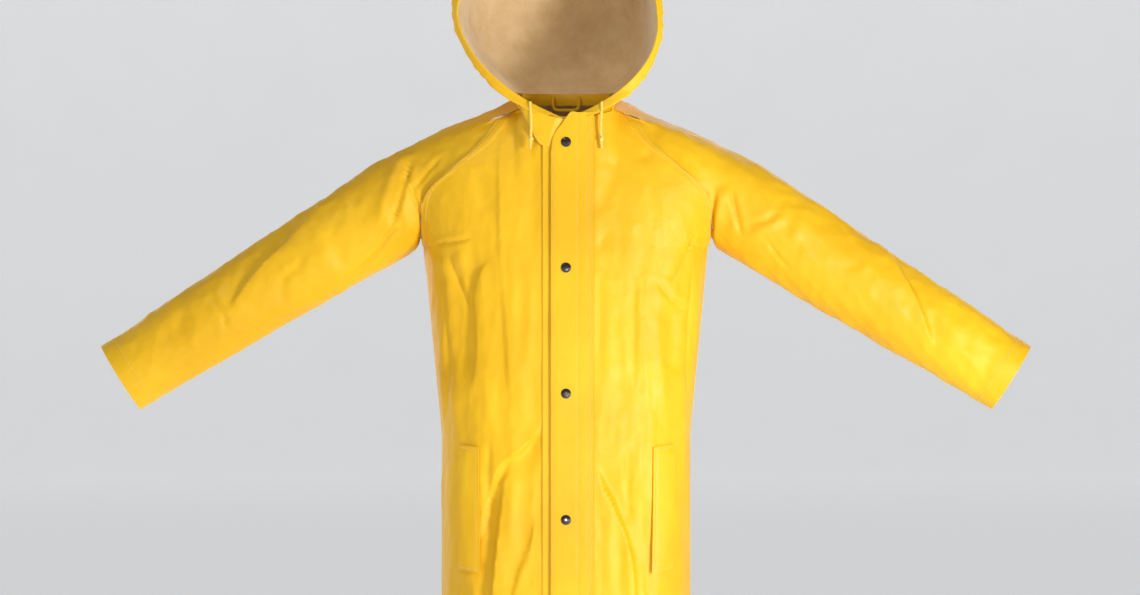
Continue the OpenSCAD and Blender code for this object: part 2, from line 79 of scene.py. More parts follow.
SLEEVE_L, SLEEVE_A = 570.0, math.radians(32)
ARM_W, CUFF_W, ARM_D, CUFF_D = 158.0, 121.0, 136.0, 96.0
ARM_ROOT = np.array([CHEST_W + 5, MID_Y, UNDERARM_Z + 92])
ARM_DIR = np.array([math.cos(SLEEVE_A), 0, -math.sin(SLEEVE_A)])
ARM_UP = np.array([math.sin(SLEEVE_A), 0, math.cos(SLEEVE_A)])
SHOULDER_S, SHOULDER_R = 130.0, 104.0
SPLIT_S = 218.0

HOOD_H, HOOD_W, HOOD_LEAN, HOOD_SEAT = 286.0, 160.0, 14.0, 4.0
CORD_D = 4.2
FLAP_REACH, FLAP_SEAM, FLAP_T = 24.0, 38.0, 2.2
FLAP_OUT = 8.1
# rows of stitches down the flap, by x
FLAP_STITCHES = (-19.0, 19.0, 35.0, 41.0)
WELT_X, WELT_W, WELT_Z, WELT_H = 138.0, 32.0, 535.0, 200.0
SKIN = 1.1


# ---------- plain functions
def lerp(a, b, t):
    return a + (b - a) * t


def smooth(a, b, x):
    t = np.clip((x - a) / (b - a), 0, 1)
    return t * t * (3 - 2 * t)


def rounded(p, n):
    return np.power(np.maximum(0, 1 - np.power(np.clip(p, 0, 1), n)), 1 / n)


def unit(v):
    return v / np.maximum(np.linalg.norm(v, axis=-1, keepdims=True), 1e-9)


def bezier(a, b, c, d, t):
    return a * (1 - t) ** 3 + 3 * b * t * (1 - t) ** 2 + 3 * c * t * t * (1 - t) + d * t ** 3


def curve_through(points, count):
    """Smooth curve through a few points, as count points (Catmull-Rom)."""
    p = np.array(points, float)
    p = np.vstack([2 * p[0] - p[1], p, 2 * p[-1] - p[-2]])
    out = []
    for t in np.linspace(0, len(points) - 1.000001, count):
        i, f = int(t), t - int(t)
        a, b, c, d = p[i:i + 4]
        out.append(0.5 * (2 * b + (c - a) * f + (2 * a - 5 * b + 4 * c - d) * f * f
                          + (3 * b - a - 3 * c + d) * f ** 3))
    return np.array(out)


# ---------- camera and lights
def make_camera():
    """Straight ahead from far off, so that the coat shows no perspective."""
    data = bpy.data.cameras.new("camera")
    cam = bpy.data.objects.new("camera", data)
    bpy.context.scene.collection.objects.link(cam)
    distance, plane_y, picture_w = 9.0, -0.06, 1.824
    cam.location = (0.0064, plane_y - distance, -0.301)
    cam.rotation_euler = (math.radians(90), 0, 0)
    data.sensor_width = 36
    data.lens = 36 * distance / picture_w
    data.clip_end = 60
    bpy.context.scene.camera = cam
    bpy.context.scene.view_settings.view_transform = "Standard"


def area_light(name, place, target, size, power, colour=(1, 1, 1)):
    data = bpy.data.lights.new(name, "AREA")
    data.size = size
    data.energy = power
    data.color = colour
    light = bpy.data.objects.new(name, data)
    light.location = place
    light.rotation_euler = (Vector(target) - Vector(place)).to_track_quat("-Z", "Y").to_euler()
    light.visible_camera = False
    bpy.context.scene.collection.objects.link(light)


def make_lights():
    world = bpy.data.worlds.new("world")
    world.use_nodes = True
    world.node_tree.nodes["Background"].inputs["Color"].default_value = (0.92, 0.95, 1, 1)
    world.node_tree.nodes["Background"].inputs["Strength"].default_value = 0.24
    bpy.context.scene.world = world
    area_light("key", (1.7, -2.1, -0.5), (0.02, 0, -0.35), 0.5, 52, (1, 0.98, 0.95))
    area_light("high", (-1.0, -2.2, 2.2), (0, 0, -0.3), 0.9, 20)
    area_light("rim", (-2.6, 0.8, 0.8), (0, 0, -0.3), 1.6, 9)
    area_light("back", (1.6, 4.2, 1.6), (0, 0, -0.3), 2.4, 44)
    area_light("back_left", (-2.4, 3.4, 0.4), (0, 0, -0.3), 1.8, 24)
    data = bpy.data.lights.new("middle", "SPOT")
    data.energy = 60
    data.spot_size = math.radians(15)
    data.spot_blend = 1.0
    data.shadow_soft_size = 0.25
    data.specular_factor = 0.4
    spot = bpy.data.objects.new("middle", data)
    spot.location = (0.15, -2.6, -0.45)
    spot.rotation_euler = (Vector((0.02, 0, -0.56)) - spot.location).to_track_quat("-Z", "Y").to_euler()
    bpy.context.scene.collection.objects.link(spot)


# ---------- materials
class Nodes:
    """A few short calls that build a material's node tree."""

    def __init__(self, name):
        self.mat = bpy.data.materials.new(name)
        self.mat.use_nodes = True
        self.tree = self.mat.node_tree
        self.bsdf = self.tree.nodes["Principled BSDF"]
        self.coord = self.add("ShaderNodeTexCoord").outputs["Object"]

    def add(self, kind, **values):
        node = self.tree.nodes.new(kind)
        for key, value in values.items():
            setattr(node, key, value)
        return node

    def link(self, a, b):
        self.tree.links.new(a, b)

    def noise(self, scale, detail=3, rough=0.5):
        node = self.add("ShaderNodeTexNoise")
        node.inputs["Scale"].default_value = scale
        node.inputs["Detail"].default_value = detail
        node.inputs["Roughness"].default_value = rough
        self.link(self.coord, node.inputs["Vector"])
        return node.outputs["Fac"]

    def ramp(self, source, stops):
        node = self.add("ShaderNodeValToRGB")
        ramp = node.color_ramp
        while len(ramp.elements) < len(stops):
            ramp.elements.new(0.5)
        for element, (place, colour) in zip(ramp.elements, stops):
            element.position = place
            element.color = (*colour, 1)
        self.link(source, node.inputs["Fac"])
        return node.outputs["Color"]

    def math(self, operation, a, b):
        node = self.add("ShaderNodeMath", operation=operation)
        for socket, value in zip(node.inputs, (a, b)):
            if isinstance(value, (int, float)):
                socket.default_value = value
            else:
                self.link(value, socket)
        return node.outputs[0]

    def bump(self, height, strength, distance, below=None):
        node = self.add("ShaderNodeBump")
        node.inputs["Strength"].default_value = strength
        node.inputs["Distance"].default_value = distance
        self.link(height, node.inputs["Height"])
        if below:
            self.link(below, node.inputs["Normal"])
        return node.outputs["Normal"]

    def finish(self, colour, roughness, normal, **values):
        self.link(colour, self.bsdf.inputs["Base Color"])
        if isinstance(roughness, float):
            self.bsdf.inputs["Roughness"].default_value = roughness
        else:
            self.link(roughness, self.bsdf.inputs["Roughness"])
        self.link(normal, self.bsdf.inputs["Normal"])
        for key, value in values.items():
            self.bsdf.inputs[key.replace("_", " ")].default_value = value
        return self.mat


def coated_fabric(name, deep, mid, light):
    """Satin vinyl skin: cloudy colour, a fine pebbled grain and the weave showing through."""
    n = Nodes(name)
    cloud = n.noise(5.5, 4, 0.55)
    colour = n.ramp(cloud, [(0.3, deep), (0.52, mid), (0.75, light)])
    rough = n.ramp(n.noise(24, 4, 0.6), [(0.3, (0.44,) * 3), (0.7, (0.54,) * 3)])
    grain = n.bump(n.noise(1500, 3, 0.6), 0.10, 0.0004)
    rumple = n.bump(n.noise(62, 4, 0.62), 0.12, 0.0020, grain)
    return n.finish(colour, rough, rumple, Specular_IOR_Level=0.30)


def woven(name, dark, light):
    """Plain knitted or woven cloth: two crossed sets of threads."""
    n = Nodes(name)
    waves = []
    for direction in ("X", "Z"):
        wave = n.add("ShaderNodeTexWave", bands_direction=direction)
        wave.inputs["Scale"].default_value = 900
        wave.inputs["Distortion"].default_value = 1.4
        wave.inputs["Detail"].default_value = 1
        n.link(n.coord, wave.inputs["Vector"])
        waves.append(wave.outputs["Fac"])
    weave = n.math("MULTIPLY", waves[0], waves[1])
    tone = n.math("ADD", n.math("MULTIPLY", weave, 0.45), n.noise(26, 4, 0.6))
    colour = n.ramp(tone, [(0.35, dark), (0.85, light)])
    normal = n.bump(weave, 0.35, 0.0004, n.bump(n.noise(90, 3), 0.2, 0.002))
    return n.finish(colour, 0.85, normal, Sheen_Weight=0.25, Sheen_Roughness=0.5)


def thread(name, dark, light):
    n = Nodes(name)
    colour = n.ramp(n.noise(420, 3), [(0.3, dark), (0.7, light)])
    return n.finish(colour, 0.6, n.bump(n.noise(2600, 2), 0.4, 0.0003), Sheen_Weight=0.2)


def metal(name, dark, light, rough, metallic=1.0, coat=0.0):
    n = Nodes(name)
    colour = n.ramp(n.noise(300, 3), [(0.35, dark), (0.7, light)])
    scuff = n.ramp(n.noise(900, 4, 0.7), [(0.35, (rough * 0.7,) * 3), (0.8, (rough * 1.6,) * 3)])
    return n.finish(colour, scuff, n.bump(n.noise(1200, 2), 0.06, 0.0003),
                    Metallic=metallic, Coat_Weight=coat, Coat_Roughness=0.06)


YELLOW = coated_fabric("yellow_vinyl", (0.78, 0.42, 0.006), (0.85, 0.48, 0.008), (0.90, 0.54, 0.012))
CREAM = woven("knitted_backing", (0.62, 0.42, 0.20), (0.80, 0.62, 0.36))
THREAD = thread("yellow_thread", (0.90, 0.62, 0.12), (0.98, 0.80, 0.30))
CORD = thread("cord_yarn", (0.86, 0.56, 0.05), (0.96, 0.74, 0.16))
CAP = metal("dark_enamel", (0.012, 0.005, 0.004), (0.035, 0.014, 0.010), 0.16, 0.0, 0.8)
BRASS = metal("snap_brass", (0.45, 0.33, 0.14), (0.72, 0.58, 0.30), 0.3)


# ---------- meshes
def mesh_from(name, verts, faces, normals=None, material_ids=None, materials=()):
    mesh = bpy.data.meshes.new(name)
    mesh.from_pydata((np.asarray(verts) * MM).tolist(), [], faces)
    for material in materials:
        mesh.materials.append(material)
    if material_ids is not None:
        mesh.polygons.foreach_set("material_index", np.asarray(material_ids, np.int32))
    mesh.polygons.foreach_set("use_smooth", np.ones(len(mesh.polygons), bool))
    mesh.update()
    if normals is not None:
        mesh.normals_split_custom_set(normals)
    obj = bpy.data.objects.new(name, mesh)
    bpy.context.scene.collection.objects.link(obj)
    return obj


def grid_normals(p, wrap=False):
    """Unit normals of a grid of points; the second index wraps round on a tube."""
    du = np.gradient(p, axis=0)
    if wrap:
        dv = (np.roll(p, -1, axis=1) - np.roll(p, 1, axis=1)) / 2
    else:
        dv = np.gradient(p, axis=1)
    return unit(np.cross(dv, du))


def shell(name, p, thick, wrap=False, normals=None, materials=(None, None), lift=0.0):
    """Closed sheet with the grid p as its outer face. Outer faces use the first material,
    inner ones the second, and the cut edges the first."""
    n = grid_normals(p, wrap) if normals is None else normals
    rows, cols = p.shape[:2]
    top = p + n * lift
    low = p + n * (lift - thick)
    base = rows * cols
    index = np.arange(base).reshape(rows, cols)
    nxt = np.roll(index, -1, axis=1) if wrap else index[:, 1:]
    cur = index if wrap else index[:, :-1]
    a, b, c, d = cur[:-1], nxt[:-1], nxt[1:], cur[1:]
    outer = np.stack([a, b, c, d], -1).reshape(-1, 4)
    inner = np.stack([a, d, c, b], -1).reshape(-1, 4) + base
    rims = [np.stack([cur[0], cur[0] + base, nxt[0] + base, nxt[0]], -1),
            np.stack([cur[-1], nxt[-1], nxt[-1] + base, cur[-1] + base], -1)]
    if not wrap:
        first, last = index[:, 0], index[:, -1]
        rims.append(np.stack([first[:-1], first[1:], first[1:] + base, first[:-1] + base], -1))
        rims.append(np.stack([last[:-1], last[:-1] + base, last[1:] + base, last[1:]], -1))
    rim = np.concatenate(rims)
    faces = np.concatenate([outer, inner, rim])
    verts = np.concatenate([top.reshape(-1, 3), low.reshape(-1, 3)])
    flat = n.reshape(-1, 3)
    corner = verts[rim]
    rim_n = unit(np.cross(corner[:, 2] - corner[:, 0], corner[:, 3] - corner[:, 1]))
    loops = np.concatenate([flat[outer].reshape(-1, 3), -flat[inner - base].reshape(-1, 3),
                            np.repeat(rim_n, 4, axis=0)])
    ids = [0] * len(outer) + [1] * len(inner) + [0] * len(rim)
    return mesh_from(name, verts, faces.tolist(), loops.tolist(), ids, materials)


def tube(points, radii, sides, across=None):
    """Vertices and faces of a capped tube along points; across fixes its first side."""
    p = np.asarray(points, float)
    f = unit(np.gradient(p, axis=0))
    start = np.array([0.0, 1.0, 0.0]) if across is None else np.asarray(across, float)
    a = unit(np.cross(f, start + 1e-4))
    b = np.cross(f, a)
    turn = np.arange(sides) * 2 * math.pi / sides
    r = np.asarray(radii, float)
    r = np.broadcast_to(r.reshape(len(p), -1), (len(p), sides))[..., None]
    ring = p[:, None] + r * (a[:, None] * np.cos(turn)[None, :, None]
                             + b[:, None] * np.sin(turn)[None, :, None])
    index = np.arange(len(p) * sides).reshape(len(p), sides)
    nxt = np.roll(index, -1, axis=1)
    faces = np.stack([index[:-1], nxt[:-1], nxt[1:], index[1:]], -1).reshape(-1, 4).tolist()
    faces += [index[0][::-1].tolist(), index[-1].tolist()]
    return ring.reshape(-1, 3), faces


def joined(name, parts, material):
    """One object from many (vertices, faces) parts."""
    verts, faces, base = [], [], 0
    for v, f in parts:
        verts.append(v)
        faces += [[i + base for i in face] for face in f]
        base += len(v)
    return mesh_from(name, np.concatenate(verts), faces, materials=(material,))


def stitches(path, normals, zigzag=0.0):
    """Thread lying along a path on a surface: one small bead for each stitch."""
    path = np.asarray(path, float)
    step = np.linalg.norm(np.diff(path, axis=0), axis=1)
    along = np.concatenate([[0], np.cumsum(step)])
    parts = []
    pitch, length = 4.2, 3.0
    count = int(along[-1] / pitch)
    shape = np.array([0.25, 1.0, 1.0, 0.25]) * 0.42
    for k in range(count):
        s = np.linspace(k * pitch + 0.4, k * pitch + 0.4 + length, 4)
        at = np.stack([np.interp(s, along, path[:, i]) for i in range(3)], -1)
        n = unit(np.stack([np.interp(s, along, normals[:, i]) for i in range(3)], -1))
        if zigzag:
            side = np.cross(n, unit(np.gradient(at, axis=0)))
            at = at + side * np.linspace(-zigzag, zigzag, 4)[:, None] * (1 if k % 2 else -1)
        lift = np.array([-0.1, 0.35, 0.35, -0.1])[:, None]
        parts.append(tube(at + n * lift, shape, 5))
    return parts


# ---------- surface of the body
def half_w(z):
    lower = np.interp(z, [HEM_Z, WAIST_Z, UNDERARM_Z], [HEM_W, WAIST_W, CHEST_W])
    return np.where(z < UNDERARM_Z, lower, CHEST_W + (z - UNDERARM_Z) * 0.37)


def front_y(z):
    return lerp(HEM_FRONT, NECK_FRONT, (z - HEM_Z) / (NECK_Z - HEM_Z))


def back_y(z):
    return np.interp(z, [HEM_Z, WAIST_Z, UNDERARM_Z + 60], [BACK_REACH, BACK_REACH - 13, BACK_REACH])


def fall(x, z, rise):
    top = NECK_SIDE - np.maximum(0, abs(x) - NECK_W) * SLOPE + np.maximum(0, NECK_W - abs(x)) * rise
    q = np.clip((z - UNDERARM_Z) / (top - UNDERARM_Z), 0, 1)
    return np.power(np.maximum(0, 1 - q ** 3.5), 0.45)


def front_pt(x, z):
    x, z = np.broadcast_arrays(np.asarray(x, float), np.asarray(z, float))
    side = rounded((abs(x) - FLAT_W) / (half_w(z) - FLAT_W), 2.4)
    return np.stack([x, MID_Y + (front_y(z) - MID_Y) * side * fall(x, z, 4), z], -1)


def back_pt(x, z):
    x, z = np.broadcast_arrays(np.asarray(x, float), np.asarray(z, float))
    side = rounded(abs(x) / half_w(z), 2.6)
    return np.stack([x, MID_Y + (back_y(z) - MID_Y) * side * fall(x, z, 0.38), z], -1)


# Raglan seam: place along it, shares of the way out and down from the neck
RAGLAN = [(0, 1, 1), (0.1, 1.0, 0.84), (0.2, 0.99, 0.69), (0.3, 0.91, 0.566), (0.46, 0.61, 0.394),
          (0.6, 0.344, 0.235), (0.76, 0.115, 0.045), (0.83, 0, 0)]
FRONT_NECK = (NECK_W - 10, 1.0)
BACK_NECK = (NECK_W - 12, 22.0)


def raglan_line(neck):
    """Smooth seam as columns: place along it, x, z."""
    line = curve_through(RAGLAN, 160)
    x = np.minimum(lerp(neck[0], CHEST_W, line[:, 1]), CHEST_W)
    z = lerp(neck[1], UNDERARM_Z, line[:, 2])
    return np.maximum.accumulate(line[:, 0]), x, np.maximum.accumulate(z)


FRONT_LINE = raglan_line(FRONT_NECK)
BACK_LINE = raglan_line(BACK_NECK)


def edge_x(z, line):
    return np.where(z < UNDERARM_Z, half_w(z), np.interp(z, line[2], line[1]))


def raglan_xz(f, line):
    f0, x, z = line
    top = f0[-1]
    return (np.where(f < top, np.interp(f, f0, x), lerp(x[-1], NECK_W, (f - top) / (1 - top))),
            np.where(f < top, np.interp(f, f0, z), lerp(z[-1], NECK_SIDE - 1, (f - top) / (1 - top))))


def front_grid(x0, side, rows, cols):
    t = np.linspace(0, 1, cols)[None]
    z = lerp(HEM_Z, lerp(NECK_Z, FRONT_NECK[1], t), np.linspace(0, 1, rows)[:, None])
    edge = edge_x(z, FRONT_LINE)
    w = half_w(z) - FLAT_W
    flat = np.clip((FLAT_W - x0) / (edge - x0), 0, 1)
    turn = np.arcsin(np.power(np.clip((edge - FLAT_W) / w, 0, 1), 1.2))
    inner = lerp(x0, FLAT_W, t / flat)
    outer = FLAT_W + w * np.power(np.sin(turn * np.clip((t - flat) / (1 - flat), 0, 1)), 1 / 1.2)
    p = front_pt(np.where(t < flat, inner, outer), z)
    if side < 0:
        p[..., 0] *= -1
        p = p[:, ::-1]
    return p


def back_grid(rows, cols):
    t = np.linspace(1, -1, cols)[None]
    z = lerp(HEM_Z, NECK_SIDE + 5 - 3 * abs(t), np.linspace(0, 1, rows)[:, None])
    w = half_w(z)
    turn = np.arcsin(np.power(np.clip(edge_x(z, BACK_LINE) / w, 0, 1), 1.3))
    return back_pt(np.sign(t) * w * np.power(np.sin(turn * abs(t)), 1 / 1.3), z)


# ---------- surface of a sleeve
def arm_in(s):
    return lerp(ARM_W, CUFF_W, s / SLEEVE_L) / 2


def arm_out(s):
    return lerp(ARM_D, CUFF_D, s / SLEEVE_L) / 2


def arm_pt(s, u):
    """Point s along the sleeve and u round it: 0 underneath, 0.5 front, 1 top, 1.5 back."""
    s, u = np.broadcast_arrays(np.asarray(s, float), np.asarray(u, float))
    up = -arm_in(s) * np.cos(math.pi * u)
    out = -arm_out(s) * np.sin(math.pi * u)
    return (ARM_ROOT + s[..., None] * ARM_DIR + up[..., None] * ARM_UP
            + out[..., None] * np.array([0.0, 1.0, 0.0]))


def sleeve_grid(rows_head, rows_tube, cols):
    """Whole sleeve from the raglan seam to the cuff, and the row where it is split in two."""
    u = np.arange(cols) * 2 / cols
    xf, zf = raglan_xz(u, FRONT_LINE)
    xb, zb = raglan_xz(2 - u, BACK_LINE)
    seam = np.where((u <= 1)[:, None], front_pt(xf, zf), back_pt(xb, zb))
    ahead = np.where((u <= 1)[:, None], front_pt(xf + 10, zf - 4), back_pt(xb + 10, zb - 4))
    way = ahead - seam
    # over the neck the seam crosses from the front corner to the back one
    neck_f = FRONT_LINE[0][-1]
    over = np.clip((1 - abs(u - 1) - neck_f) / (1 - neck_f), 0, 1)
    corner_y = np.where(u <= 1, front_pt(*raglan_xz(neck_f - 1e-6, FRONT_LINE))[1],
                        back_pt(*raglan_xz(neck_f - 1e-6, BACK_LINE))[1])
    seam[:, 1] = np.where(over > 0, lerp(corner_y, MID_Y, over), seam[:, 1])
    steepest = lerp(0.6, 0.06, smooth(0.5, 0.75, 1 - abs(u - 1))) * way[:, 0]
    way[:, 1] = np.clip(way[:, 1], -steepest, steepest) * (1 - smooth(0, 0.5, over))
    way = unit(way)
    s_end = SHOULDER_S - np.sqrt(SHOULDER_R ** 2 - (arm_in(70.0) * np.cos(math.pi * u)) ** 2)
    end = arm_pt(s_end, u)
    reach = np.linalg.norm(end - seam, axis=1, keepdims=True) / 3
    t = np.linspace(0, 1, rows_head)[:, None, None]
    head = bezier(seam, seam + way * reach, end - ARM_DIR * reach, end, t)
    # even out the corners of the seam as the surface leaves it
    even = head
    for _ in range(30):
        even = (np.roll(even, 1, axis=1) + 2 * even + np.roll(even, -1, axis=1)) / 4
    head = lerp(head, even, smooth(0, 0.3, t) * smooth(1, 0.8, t))
    s = s_end + (SLEEVE_L - s_end) * np.linspace(0, 1, rows_tube + 1)[1:, None]
    body = arm_pt(s, u[None])
    split = rows_head + int(np.searchsorted(s[:, cols // 4], SPLIT_S))
    return np.concatenate([head, body]), split


# ---------- surface of the hood
def neckline(t):
    t = np.asarray(t, float)
    return np.stack([NECK_W * np.sin(math.pi * t), lerp(NECK_FRONT, NECK_BACK, (1 - np.cos(math.pi * t)) / 2),
                     HOOD_SEAT + lerp(NECK_Z, NECK_SIDE + 4, smooth(0, 0.6, t))], -1)


def hood_pt(t, v, side=1):
    """Point on a hood half: t runs back from the front edge, v up from the neck to the crown."""
    t, v = np.broadcast_arrays(np.asarray(t, float), np.asarray(v, float))
    n = neckline(t)
    crown = bezier(np.array([0, -76, HOOD_H]), np.array([0, 60, HOOD_H + 62]),
                   np.array([0, 210, 0.8 * HOOD_H]), np.array([0, NECK_BACK + 5, NECK_SIDE + 8]),
                   t[..., None])
    width = HOOD_W * (1 - 0.22 * t ** 0.8) * np.sqrt(np.maximum(0, 1 - t ** 5))
    bulge = (8 * width - n[..., 0]) / 6
    b = np.stack([bulge, n[..., 1], lerp(n[..., 2], crown[..., 2], 0.255)], -1)
    c = np.stack([bulge, crown[..., 1], lerp(n[..., 2], crown[..., 2], 0.876)], -1)
    p = bezier(n, b, c, crown, v[..., None])
    x = side * p[..., 0] - HOOD_LEAN * np.clip(p[..., 2] / 150, 0, 1) ** 1.5
    return np.stack([x, p[..., 1], p[..., 2]], -1)


# ---------- folds
# Each fold: its line on the coat seen from the front as (x, z) points, its width, its
# height, and its kind. A "step" drops away sharply on its right, going along the line
# (on its left where the height is negative), a "ridge" and a "dent" rise and sink on
# both sides alike, and a "crease" is a sharp dent.
FRONT_FOLDS = [
    # body, wearer's right
    ([(-108, -30), (-108, -140), (-106, -225), (-99, -320), (-92, -420), (-90, -540)], 12, 3.6, "step"),
    ([(-141, -90), (-134, -130), (-124, -170)], 12, 2.5, "dent"),
    ([(-50, -70), (-48, -140), (-50, -210)], 16, 2.2, "dent"),
    ([(-28, -480), (-45, -515), (-72, -545), (-98, -562), (-118, -600), (-134, -655), (-142, -700)],
     9, -6.5, "step"),
    ([(-90, -576), (-112, -618), (-124, -672)], 6, 3.0, "ridge"),
    ([(-98, -575), (-105, -630), (-112, -700), (-121, -790), (-128, -900)], 13, 10.0, "step"),
    ([(-50, -640), (-56, -690), (-76, -745), (-88, -800), (-92, -900)], 10, 4.6, "step"),
    ([(-122, -520), (-126, -600), (-124, -660)], 7, 2.0, "crease"),
    ([(-122, -240), (-140, -262), (-150, -300), (-146, -380), (-152, -470)], 12, 5.0, "step"),
    ([(-190, -225), (-178, -280), (-150, -322)], 9, 3.5, "crease"),
    ([(-205, -240), (-196, -330), (-192, -430), (-197, -520)], 7, 3.5, "crease"),
    ([(-212, -215), (-180, -212), (-150, -206)], 6, 3.2, "crease"),
    ([(-77, 20), (-62, -15), (-46, -42), (-38, -60)], 5, 3.5, "step"),
    ([(-178, -238), (-168, -290), (-164, -360), (-170, -450)], 26, 9.0, "dent"),
    # body, wearer's left
    ([(176, -300), (170, -360), (176, -440)], 20, 6.0, "dent"),
    ([(80, -70), (64, -125), (46, -178)], 13, 2.8, "dent"),
    ([(68, -188), (56, -212), (42, -232)], 10, 2.0, "dent"),
    ([(118, -90), (140, -58), (142, -20)], 10, 2.5, "dent"),
    ([(115, -255), (114, -360), (113, -470)], 7, 1.8, "step"),
    ([(165, -276), (190, -236), (213, -194)], 8, 3.5, "crease"),
    ([(145, -272), (168, -303), (198, -326)], 9, 3.2, "crease"),
    ([(205, -240), (199, -330), (196, -430), (200, -520)], 7, 3.5, "crease"),
    ([(44, -560), (58, -600), (76, -632), (95, -676), (108, -730), (113, -790), (120, -900)],
     13, -10.0, "step"),
    ([(99, -530), (100, -600), (103, -665)], 6, 2.5, "dent"),
    ([(124, -600), (127, -680), (134, -760), (150, -820)], 9, 3.0, "dent"),
    ([(172, -735), (160, -790), (168, -880)], 10, 3.0, "dent"),
    ([(-172, -740), (-164, -800), (-170, -880)], 10, 3.0, "dent"),
    # sleeve, wearer's right
    ([(-350, -110), (-405, -158), (-445, -205), (-489, -247), (-520, -287), (-548, -333)], 13, 8.0, "step"),
    ([(-575, -292), (-551, -327), (-544, -356)], 6, 3.5, "crease"),
    ([(-700, -440), (-629, -410), (-551, -366), (-511, -353), (-434, -325), (-378, -300), (-322, -288)],
     6, 2.8, "step"),
    ([(-360, -282), (-305, -234), (-284, -200), (-264, -191)], 6, 5.0, "crease"),
    ([(-253, -60), (-274, -100), (-292, -150), (-300, -195)], 11, 6.0, "ridge"),
    ([(-246, -68), (-258, -118), (-272, -165), (-284, -197)], 6, 5.0, "crease"),
    ([(-257, -110), (-260, -150), (-250, -205)], 9, 4.5, "ridge"),
    ([(-252, -108), (-243, -140), (-232, -172), (-228, -210)], 5, 3.5, "crease"),
    ([(-200, -74), (-224, -102), (-247, -132)], 6, 3.0, "crease"),
    ([(-392, -196), (-362, -222), (-361, -260)], 13, 3.0, "dent"),
    ([(-432, -216), (-427, -248), (-452, -270), (-457, -296), (-440, -318)], 8, 3.0, "dent"),
    ([(-284, -246), (-302, -266), (-320, -288)], 5, 4.0, "crease"),
    ([(-610, -318), (-622, -350), (-650, -372)], 16, 4.0, "dent"),
    # sleeve, wearer's left
    ([(234, -50), (286, -74), (328, -119)], 12, 3.2, "dent"),
    ([(340, -92), (383, -133), (443, -166), (484, -178)], 12, -5.5, "step"),
    ([(486, -176), (509, -210), (537, -254), (562, -298), (580, -350), (592, -395)], 12, -7.5, "step"),
    ([(264, -122), (272, -166), (280, -202)], 6, 5.0, "crease"),
    ([(254, -118), (247, -154), (242, -195)], 9, 5.0, "ridge"),
    ([(240, -122), (235, -165), (232, -208)], 5, 3.5, "crease"),
    ([(284, -186), (328, -174), (348, -136)], 8, 3.6, "crease"),
    ([(284, -212), (326, -184), (352, -172)], 8, 3.0, "ridge"),
    ([(316, -202), (339, -234), (362, -259)], 5, 1.8, "crease"),
    ([(238, -226), (283, -250), (344, -288), (394, -322), (443, -346), (512, -388)], 4, 4.5, "crease"),
    ([(384, -150), (372, -185), (360, -218)], 14, 3.2, "ridge"),
    ([(399, -152), (443, -177), (470, -230), (480, -265)], 14, 3.4, "step"),
    ([(620, -300), (640, -345), (650, -400)], 16, 3.0, "dent"),
    ([(690, -345), (680, -390), (672, -440)], 14, 2.5, "dent"),
]

# Folds of the back, seen from behind as (x, z) points
BACK_FOLDS = [
    ([(-60, -60), (-72, -200), (-70, -400), (-84, -640), (-100, -900)], 20, 5.0, "ridge"),
    ([(40, -120), (52, -300), (48, -520), (66, -760), (74, -900)], 18, 4.5, "ridge"),
    ([(-10, -320), (-16, -560), (-8, -760), (-14, -900)], 22, -4.5, "ridge"),
    ([(150, -150), (120, -260), (118, -420), (136, -640), (150, -900)], 14, 4.0, "step"),
    ([(-150, -140), (-128, -260), (-130, -460), (-150, -700), (-160, -900)], 13, -4.0, "step"),
    ([(-205, -215), (-160, -200), (-110, -170)], 10, 3.5, "crease"),
    ([(205, -220), (165, -236), (120, -262)], 10, 3.5, "crease"),
    ([(240, -110), (262, -150), (270, -200)], 8, 4.0, "crease"),
    ([(-240, -110), (-258, -150), (-262, -200)], 8, 4.0, "crease"),
    ([(300, -120), (350, -190), (360, -230)], 12, 4.0, "dent"),
    ([(-300, -130), (-345, -180), (-370, -240)], 12, 4.0, "dent"),
    ([(400, -180), (460, -270), (500, -330), (560, -370)], 11, 5.0, "step"),
    ([(-400, -170), (-440, -240), (-500, -290), (-580, -350)], 11, 5.0, "step"),
    ([(600, -330), (650, -400), (700, -430)], 12, 3.0, "dent"),
    ([(-600, -320), (-640, -390), (-690, -430)], 12, 3.0, "dent"),
]


def fold_height(x, z, folds):
    """Height of the surface's folds at each (x, z)."""
    q = np.stack([x, z], -1)
    total = np.zeros(x.shape)
    for points, width, height, kind in folds:
        line = curve_through(points, 8 * len(points))
        a, b = line[:-1], line[1:]
        reach = width * 4.5
        low, high = line.min(0) - reach, line.max(0) + reach
        near = np.all((q > low) & (q < high), axis=-1)
        if not near.any():
            continue
        p = q[near][:, None]
        ab = (b - a)[None]
        t = np.clip(((p - a) * ab).sum(-1) / (ab ** 2).sum(-1), 0, 1)
        offset = p - (a + t[..., None] * ab)
        gap = np.linalg.norm(offset, axis=-1)
        k = gap.argmin(1)
        rows = np.arange(len(k))
        d = gap[rows, k]
        way = unit(b - a)[k]
        turn = way[:, 0] * offset[rows, k, 1] - way[:, 1] * offset[rows, k, 0]
        signed = d * np.sign(turn) * np.sign(height)
        place = (k + t[rows, k]) / len(a)
        ends = smooth(0, 0.22, place) * smooth(0, 0.22, 1 - place)
        if kind == "step":
            low_side = signed < 0
            shape = np.where(low_side, -(1 - np.exp(-d / (width * 0.3))) * np.exp(-(d / (width * 3)) ** 2),
                             0.22 * np.exp(-(d / (width * 1.4)) ** 2))
        elif kind == "crease":
            shape = 0.35 * np.exp(-((d - width * 1.3) / width) ** 2) - np.exp(-d / (width * 0.45))
        else:
            shape = np.exp(-(d / width) ** 2) * (-1 if kind == "dent" else 1)
        total[near] += (abs(height) if kind == "step" else height) * shape * ends
    return total


RANDOM = np.random.default_rng(7)


